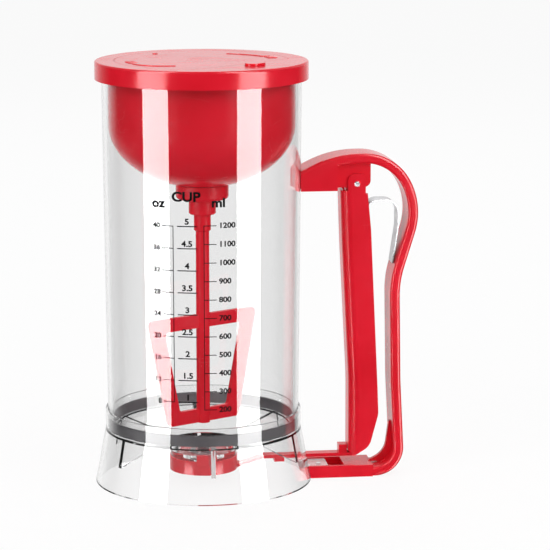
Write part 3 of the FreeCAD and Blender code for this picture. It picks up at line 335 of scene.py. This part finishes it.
# in both clear finishes the face-on stops are a faint grey tint and the darker stops towards
# grazing are painted edge shade
clearJar = clearMaterial("clearJar", {
    "tintAndEdgeShade": [(0.0, 0.968), (0.3, 0.965), (0.5, 0.945), (0.7, 0.885), (0.86, 0.74), (1.0, 0.2)],
    "rough": 0.004, "smudgeRough": 0.03, "linesRough": 0.10, "linesShare": 0.36,
    "smudgeSize": 20.0, "lines": 40.0, "ripple": 90.0, "pits": 1500.0, "bump": 0.05,
    "bumpDepth": 0.00005, "transmission": 1.0, "ior": 1.49, "shine": 0.45,
    "shadow": (0.985, 0.985, 0.985, 1)})
clearSkirt = clearMaterial("clearSkirt", {
    "tintAndEdgeShade": [(0.0, 0.99), (0.3, 0.98), (0.5, 0.945), (0.7, 0.89), (0.86, 0.8), (1.0, 0.55)],
    "rough": 0.006, "smudgeRough": 0.04, "linesRough": 0.12, "linesShare": 0.4,
    "smudgeSize": 24.0, "lines": 45.0, "ripple": 110.0, "pits": 1500.0, "bump": 0.06,
    "bumpDepth": 0.00006, "transmission": 1.0, "ior": 1.49, "shine": 0.6,
    "shadow": (0.98, 0.98, 0.98, 1)})
smokeSilicone = siliconeMaterial("smokeSilicone", {
    "dark": (0.10, 0.095, 0.105), "light": (0.15, 0.145, 0.155), "bloom": (0.5, 0.49, 0.48),
    "dust": 0.2, "rough": 0.22, "cloudRough": 0.2, "ripple": 500.0, "pits": 3200.0,
    "bump": 0.2, "bumpDepth": 0.00005, "ior": 1.41, "transmission": 0.5})
brightSteel = metalMaterial("brightSteel", {
    "dark": (0.62, 0.62, 0.63), "light": (0.78, 0.78, 0.79), "along": (1.0, 1.0, 0.04),
    "fineness": 2400.0, "lines": 80.0, "rough": 0.14, "roughSpan": 0.16, "bump": 0.2})
springSteel = metalMaterial("springSteel", {
    "dark": (0.34, 0.34, 0.35), "light": (0.50, 0.50, 0.51), "along": (0.05, 1.0, 1.0),
    "fineness": 2600.0, "lines": 80.0, "rough": 0.2, "roughSpan": 0.18, "bump": 0.2})
platedContact = metalMaterial("platedContact", {
    "dark": (0.66, 0.60, 0.48), "light": (0.80, 0.74, 0.62), "along": (1.0, 0.05, 1.0),
    "fineness": 1800.0, "lines": 90.0, "rough": 0.2, "roughSpan": 0.2, "bump": 0.25})
sinteredBronze = metalMaterial("sinteredBronze", {
    "dark": (0.42, 0.24, 0.10), "light": (0.56, 0.34, 0.16), "along": (1.0, 1.0, 1.0),
    "fineness": 3200.0, "lines": 60.0, "rough": 0.34, "roughSpan": 0.3, "bump": 0.6})
zincCan = metalMaterial("zincCan", {
    "dark": (0.48, 0.49, 0.51), "light": (0.62, 0.63, 0.65), "along": (1.0, 1.0, 0.2),
    "fineness": 900.0, "lines": 50.0, "rough": 0.26, "roughSpan": 0.3, "bump": 0.3})


# shrink sleeve of a cell: dark body, pale band near the plus end, soft clouds and fine relief
def jacketMaterial(name, look):
    material, tree, place, surface, out = startMaterial(name)
    height = addNode(tree, "SeparateXYZ", {0: place}).outputs[2]
    part = addNode(tree, "MapRange", {"Value": height, "From Min": look["low"],
                                      "From Max": look["high"]}).outputs[0]
    body, band = look["body"], look["band"]
    bands = addRamp(tree, part, [(0.0, body), (0.70, body), (0.71, band), (0.78, band),
                                 (0.79, body)])
    skin = skinOf(tree, place, look)
    shade = addNode(tree, "MixRGB", {"Fac": look["cloud"], "Color1": bands,
                                     "Color2": skin["Cloud"]}, blend_type="MULTIPLY")
    connect(tree, shade.outputs[0], surface.inputs["Base Color"])
    connect(tree, addShare(tree, skin["Cloud"], look["cloudRough"], look["rough"]),
            surface.inputs["Roughness"])
    addBump(tree, surface, skin["Height"], look["bump"], look["bumpDepth"])
    return material


cellLow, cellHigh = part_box("battery_1")
cellJacket = jacketMaterial("cellJacket", {
    "body": (0.02, 0.05, 0.16), "band": (0.75, 0.76, 0.78), "low": cellLow.z, "high": cellHigh.z,
    "ripple": 380.0, "pits": 2400.0, "cloud": 0.25, "cloudRough": 0.15, "rough": 0.2,
    "bump": 0.3, "bumpDepth": 0.0001})

# which finish each CAD node wears
finishes = {
    "clear_jar": clearJar, "base_skirt": clearSkirt, "base_gasket": smokeSilicone,
    "nozzle_seal": smokeSilicone, "handle_frame": redPlastic, "handle_screw": brightSteel,
    "pivot_pin": brightSteel, "return_spring": springSteel, "trigger_lever": redPlastic,
    "slide_valve": redPlastic, "lid_cap": redPlastic, "lid_gasket": smokeSilicone,
    "motor_housing": redPlastic, "lid_screws": brightSteel, "neck_collar": redPlastic,
    "bearing_bush": sinteredBronze, "shaft_seal": smokeSilicone, "gearbox": blackPlastic,
    "motor": zincCan, "battery_tray": blackPlastic, "lower_contact_1": platedContact,
    "lower_contact_2": platedContact, "battery_1": cellJacket, "battery_2": cellJacket,
    "battery_3": cellJacket, "battery_4": cellJacket, "power_switch": whitePlastic,
    "output_shaft": brightSteel, "drive_sleeve": redPlastic, "beater": redPlastic,
    "battery_door": redPlastic, "upper_contact_1": platedContact,
    "upper_contact_2": platedContact, "power_button": redPlastic}
for nodeName, part in nodes.items():
    part.data.materials.clear()
    part.data.materials.append(finishes[nodeName])
print("finishes on the CAD nodes:", len(finishes))


# printed scale: laid out flat (x along the wall, y up, z out), then wrapped onto the jar.
# lengths and heights in mm, places along the wall in degrees
scaleLook = {
    "wallRadius": 57.2, "lowRadius": 56.2, "lowHeight": 39.2, "highRadius": 58.1,
    "highHeight": 244.0, "lift": 0.055, "thick": 0.05, "line": 0.46, "tickCuts": 6,
    "textCurve": 4, "textBold": 0.035, "textStretch": 1.12,
    "millilitreLow": 54.6, "millilitreStep": 10.67, "millilitreMarks": 11,
    "millilitreLine": -4.75, "millilitreTick": 2.35, "millilitreText": 3.7, "millilitreSize": 4.3,
    "ounceLow": 59.0, "ounceHigh": 160.9, "ounceMarks": 9,
    "ounceLine": -22.4, "ounceTick": -29.2, "ounceText": -30.3, "ounceSize": 3.9,
    "cupLeft": -20.0, "cupRight": -8.7, "cupText": -14.4, "cupRise": 2.6, "cupSize": 4.6,
    "cupBold": 1.3, "cupCuts": 9,
    "labels": (("oz", -31.2, 173.6, 7.2), ("CUP", -14.9, 177.5, 7.6), ("ml", 3.5, 174.2, 7.2))}


def alongWall(angle):
    return math.radians(angle) * scaleLook["wallRadius"] * mm


def inkBar(left, right, low, high, cuts):
    clearSelection()
    bpy.ops.mesh.primitive_grid_add(x_subdivisions=cuts, y_subdivisions=1, size=1,
                                    location=((left + right) / 2, (low + high) / 2, 0))
    bpy.ops.object.mode_set(mode="EDIT")
    bpy.ops.transform.resize(value=(right - left, high - low, 1))
    bpy.ops.mesh.extrude_region_move(
        TRANSFORM_OT_translate={"value": (0, 0, scaleLook["thick"] * mm)})
    bpy.ops.mesh.select_all(action="SELECT")
    bpy.ops.mesh.normals_make_consistent(inside=False)
    bpy.ops.object.mode_set(mode="OBJECT")
    bpy.ops.object.transform_apply(location=True, rotation=True, scale=True)
    return bpy.context.object


def inkText(words, left, middle, size, anchor):
    clearSelection()
    bpy.ops.object.text_add(location=(left, middle, scaleLook["thick"] * mm / 2))
    made = bpy.context.object
    made.data.body = words
    made.data.align_x = anchor
    made.data.align_y = "CENTER"
    made.data.size = size * mm
    made.data.resolution_u = scaleLook["textCurve"]
    made.data.offset = size * mm * scaleLook["textBold"]
    made.data.extrude = scaleLook["thick"] * mm / 2
    bpy.ops.object.convert(target="MESH")
    made = bpy.context.object
    made.scale = (scaleLook["textStretch"], 1, 1)
    bpy.ops.object.transform_apply(location=True, rotation=True, scale=True)
    return made


def wrapOnJar(piece):
    rise = (scaleLook["highRadius"] - scaleLook["lowRadius"]) / (
        scaleLook["highHeight"] - scaleLook["lowHeight"])
    for point in piece.data.vertices:
        x, y, z = point.co
        wall = scaleLook["lowRadius"] + rise * (y / mm - scaleLook["lowHeight"])
        reach = (wall + scaleLook["lift"]) * mm + z
        turn = x / (scaleLook["wallRadius"] * mm)
        point.co = (reach * math.sin(turn), -reach * math.cos(turn), y)
    piece.data.update()


def makeScale():
    parts = []
    half = scaleLook["line"] * mm / 2

    def mark(left, right, level, thickness, cuts):
        parts.append(inkBar(alongWall(scaleLook[left]), alongWall(scaleLook[right]),
                            level - thickness, level + thickness, cuts))

    def spine(name, low, high):
        line = alongWall(scaleLook[name])
        parts.append(inkBar(line - half, line + half, low - half, high + half, 1))

    low, step = scaleLook["millilitreLow"], scaleLook["millilitreStep"]
    for count in range(scaleLook["millilitreMarks"]):
        level = (low + step * count) * mm
        mark("millilitreLine", "millilitreTick", level, half, scaleLook["tickCuts"])
        parts.append(inkText(str(200 + 100 * count), alongWall(scaleLook["millilitreText"]),
                             level, scaleLook["millilitreSize"], "LEFT"))
    spine("millilitreLine", low * mm, (low + step * (scaleLook["millilitreMarks"] - 1)) * mm)

    low, high = scaleLook["ounceLow"], scaleLook["ounceHigh"]
    for count in range(scaleLook["ounceMarks"]):
        level = (low + (high - low) * count / (scaleLook["ounceMarks"] - 1)) * mm
        mark("ounceTick", "ounceLine", level, half, scaleLook["tickCuts"])
        parts.append(inkText(str(8 + 4 * count), alongWall(scaleLook["ounceText"]), level,
                             scaleLook["ounceSize"], "RIGHT"))
        mark("cupLeft", "cupRight", level, half * scaleLook["cupBold"], scaleLook["cupCuts"])
        parts.append(inkText(f"{1 + 0.5 * count:g}", alongWall(scaleLook["cupText"]),
                             level + scaleLook["cupRise"] * mm, scaleLook["cupSize"], "CENTER"))
    spine("ounceLine", low * mm, high * mm)

    for words, angle, height, size in scaleLook["labels"]:
        parts.append(inkText(words, alongWall(angle), height * mm, size, "CENTER"))
    pick(parts[-1], *parts[:-1])
    bpy.ops.object.join()
    whole = bpy.context.object
    whole.name = "printed_scale"
    wrapOnJar(whole)
    return whole


# matte printing ink: cloudy black, no gloss, a fine grain
def inkMaterial(name, look):
    material, tree, place, surface, out = startMaterial(name)
    skin = skinOf(tree, place, look)
    shade = addRamp(tree, skin["Cloud"], [(0.3, look["dark"]), (0.7, look["light"])])
    connect(tree, shade, surface.inputs["Base Color"])
    connect(tree, addShare(tree, skin["Cloud"], look["cloudRough"], look["rough"]),
            surface.inputs["Roughness"])
    surface.inputs["Specular IOR Level"].default_value = look["shine"]
    addBump(tree, surface, skin["Height"], look["bump"], look["bumpDepth"])
    return material


printedScale = makeScale()
printedScale.data.materials.append(inkMaterial("screenInk", {
    "dark": (0.004, 0.004, 0.005), "light": (0.016, 0.016, 0.017), "rough": 0.5,
    "cloudRough": 0.2, "shine": 0.0, "ripple": 900.0, "pits": 5200.0, "bump": 0.3,
    "bumpDepth": 0.00002}))
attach(printedScale, "container")
print("printed scale wrapped on the jar")


# turning arrows raised on the lid: a crescent with a point, and three bars behind its tail.
# lengths in mm, places round the lid in degrees
arrowLook = {
    "top": 248.9, "height": 0.35, "radius": 42.0, "width": 7.0, "tail": 201.0, "tip": 240.0,
    "drift": -6.5, "cuts": 22, "swellFloor": 0.75, "swell": 0.25, "swellEnd": 0.7,
    "pointEnd": 1.02, "pointRun": 0.45, "bars": (186.5, 190.5, 195.0), "barSweep": 2.0,
    "barWidth": 5.5, "barDrift": 0.3, "barCuts": 3, "grid": 2, "weld": 0.00002,
    "bevel": 0.08, "smoothAngle": 35}


def arcStrip(start, stop, widthAt, driftAt, cuts):
    clearSelection()
    side = arrowLook["grid"] * mm
    bpy.ops.mesh.primitive_grid_add(x_subdivisions=cuts, y_subdivisions=4, size=side,
                                    location=(0, 0, 0))
    strip = bpy.context.object
    for point in strip.data.vertices:
        along = point.co.x / side + 0.5
        across = point.co.y / side
        turn = math.radians(start + (stop - start) * along)
        reach = (arrowLook["radius"] + driftAt(along) + across * widthAt(along)) * mm
        point.co = (reach * math.cos(turn), reach * math.sin(turn), arrowLook["top"] * mm)
    bpy.ops.object.mode_set(mode="EDIT")
    bpy.ops.mesh.select_all(action="SELECT")
    bpy.ops.mesh.remove_doubles(threshold=arrowLook["weld"])
    bpy.ops.mesh.extrude_region_move(
        TRANSFORM_OT_translate={"value": (0, 0, arrowLook["height"] * mm)})
    bpy.ops.mesh.select_all(action="SELECT")
    bpy.ops.mesh.normals_make_consistent(inside=False)
    bpy.ops.object.mode_set(mode="OBJECT")
    return strip


def makeArrow(name, turned):
    def bodyWidth(along):
        part = math.sin(math.pi * min(along / arrowLook["swellEnd"], 1))
        wide = arrowLook["width"] * (arrowLook["swellFloor"] + arrowLook["swell"] * part)
        return wide * min(1.0, (arrowLook["pointEnd"] - along) / arrowLook["pointRun"])

    def bodyDrift(along):
        return arrowLook["drift"] * along * along

    parts = [arcStrip(arrowLook["tail"], arrowLook["tip"], bodyWidth, bodyDrift,
                      arrowLook["cuts"])]
    for place in arrowLook["bars"]:
        parts.append(arcStrip(place, place + arrowLook["barSweep"],
                              lambda along: arrowLook["barWidth"],
                              lambda along: arrowLook["barDrift"], arrowLook["barCuts"]))
    pick(*parts)
    bpy.ops.object.join()
    arrow = bpy.context.object
    arrow.name = name
    edges = arrow.modifiers.new("edges", "BEVEL")
    edges.width = arrowLook["bevel"] * mm
    edges.segments = 2
    edges.limit_method = "ANGLE"
    bpy.ops.object.modifier_apply(modifier=edges.name)
    arrow.rotation_euler = (0, 0, math.radians(turned))
    bpy.ops.object.transform_apply(location=True, rotation=True, scale=True)
    bpy.ops.object.shade_smooth_by_angle(angle=math.radians(arrowLook["smoothAngle"]))
    arrow.data.materials.append(redPlastic)
    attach(arrow, "mixer_head")


makeArrow("turn_arrow_front", 0)
makeArrow("turn_arrow_back", 180)
print("turning arrows on the lid")


def aimAlong(thing, direction):
    thing.rotation_mode = "QUATERNION"
    thing.rotation_quaternion = direction.to_track_quat("-Z", "Y")


# camera where the photograph was taken
cameraLook = {"place": (-0.1511, -1.5389, 0.4161), "towards": (0.1228, 0.9747, -0.1867),
              "lens": 175.6, "near": 0.05}
clearSelection()
bpy.ops.object.camera_add(location=cameraLook["place"])
camera = bpy.context.object
camera.data.lens = cameraLook["lens"]
camera.data.clip_start = cameraLook["near"]
aimAlong(camera, Vector(cameraLook["towards"]))
bpy.context.scene.camera = camera

# studio: pale floor, soft lamps all round, two tall panels that only show as reflections
studioLook = {
    "floorSize": 8.0, "floorDrop": 0.0002, "floorShow": 0.9, "world": 0.55,
    "lampSize": 0.9, "lampAim": (0, 0, 0.12),
    "lamps": (("lampLeft", (-1.1, -1.0, 1.2), 9.5), ("lampRight", (1.2, -0.9, 1.1), 9.5),
              ("lampBack", (0.2, 1.3, 1.3), 6.5)),
    "panelShine": 18.0, "panelDistance": 0.40, "panelLow": -0.3, "panelHigh": 1.0,
    "panels": (("panelLeft", -57.0, 0.22), ("panelRight", 47.0, 0.21)),
    "lowShine": 0.05, "highShine": 0.7, "shineFrom": -0.06, "shineTo": 0.1,
    "backFrom": 0.5, "backTo": 0.9}


def softLamp(name, place, target, wide, high, power):
    clearSelection()
    bpy.ops.object.light_add(type="AREA", location=place)
    lamp = bpy.context.object
    lamp.name = name
    lamp.data.shape = "RECTANGLE"
    lamp.data.size = wide
    lamp.data.size_y = high
    lamp.data.energy = power
    aimAlong(lamp, Vector(target) - lamp.location)
    lamp.visible_camera = False
    lamp.visible_transmission = False
    return lamp


def panelLamp(name, bearing, wide):
    angle = math.radians(bearing)
    distance, low, high = (studioLook[key] for key in ("panelDistance", "panelLow", "panelHigh"))
    middle = (low + high) / 2
    place = (distance * math.sin(angle), -distance * math.cos(angle), middle)
    power = studioLook["panelShine"] * math.pi * wide * (high - low)
    panel = softLamp(name, place, (0, 0, middle), wide, high - low, power)
    panel.visible_diffuse = False
    panel.visible_volume_scatter = False


for name, place, power in studioLook["lamps"]:
    softLamp(name, place, studioLook["lampAim"], studioLook["lampSize"], studioLook["lampSize"],
             power)
for name, bearing, wide in studioLook["panels"]:
    panelLamp(name, bearing, wide)


def seenDirectly(tree):
    path = addNode(tree, "LightPath").outputs
    seen = addMath(tree, "MAXIMUM", path["Is Camera Ray"], path["Is Glossy Ray"])
    return addMath(tree, "MAXIMUM", seen, path["Is Transmission Ray"])


# 1 for light that a surface has mirrored on its way, else 0
def isMirrored(tree):
    halfBounce = 0.5
    bounces = addNode(tree, "LightPath").outputs["Glossy Depth"]
    return addMath(tree, "GREATER_THAN", bounces, halfBounce)


# white to look at; mirrored rays find it dark low down in front, white above and far behind
world = bpy.data.worlds.new("studioWorld")
bpy.context.scene.world = world
world.use_nodes = True
tree = world.node_tree
tree.nodes.clear()
lit = addNode(tree, "Background", {"Color": (1, 1, 1, 1), "Strength": studioLook["world"]})
heading = addNode(tree, "SeparateXYZ", {0: addNode(tree, "TexCoord").outputs["Generated"]})
rise = addNode(tree, "MapRange", {
    "Value": heading.outputs[2], "From Min": studioLook["shineFrom"],
    "From Max": studioLook["shineTo"], "To Min": studioLook["lowShine"],
    "To Max": studioLook["highShine"]}).outputs[0]
backdrop = addNode(tree, "MapRange", {
    "Value": heading.outputs[1], "From Min": studioLook["backFrom"],
    "From Max": studioLook["backTo"], "To Min": 0.0, "To Max": 1.0}).outputs[0]
unmirrored = addMath(tree, "SUBTRACT", 1.0, isMirrored(tree))
level = addMath(tree, "MAXIMUM", addMath(tree, "MAXIMUM", rise, backdrop), unmirrored)
shown = addNode(tree, "Background", {"Color": (1, 1, 1, 1), "Strength": level})
mixed = addNode(tree, "MixShader", {0: seenDirectly(tree), 1: lit.outputs[0], 2: shown.outputs[0]})
addNode(tree, "OutputWorld", {"Surface": mixed.outputs[0]})

clearSelection()
bpy.ops.mesh.primitive_plane_add(size=studioLook["floorSize"],
                                 location=(0, 0, cadBox[0][2] - studioLook["floorDrop"]))
floor = bpy.context.object
floor.name = "studio_floor"
material, tree, place, surface, out = startMaterial("paleFloor")
paper = addNode(tree, "TexNoise", {"Vector": place, "Scale": 35.0, "Detail": 3.0})
connect(tree, addRamp(tree, paper.outputs["Fac"], [(0.3, 0.86), (0.7, 0.88)]),
        surface.inputs["Base Color"])
surface.inputs["Roughness"].default_value = 0.8
surface.inputs["Specular IOR Level"].default_value = 0.1
glow = addNode(tree, "Emission", {"Color": (1, 1, 1, 1), "Strength": 1.0})
share = addMath(tree, "MULTIPLY", seenDirectly(tree), studioLook["floorShow"])
mixed = addNode(tree, "MixShader", {0: share, 1: surface.outputs[0], 2: glow.outputs[0]})
# light mirrored inside a clear wall leaves as a transmission ray, so the floor lets it pass here
clear = addNode(tree, "BsdfTransparent")
ground = addNode(tree, "MixShader", {0: isMirrored(tree), 1: mixed.outputs[0],
                                     2: clear.outputs[0]})
connect(tree, ground.outputs[0], out.inputs["Surface"])
floor.data.materials.append(material)
floor.visible_glossy = False  # gloss shows the studio, also low on the walls

scene = bpy.context.scene
scene.view_settings.view_transform = "Standard"
bpy.context.view_layer.update()
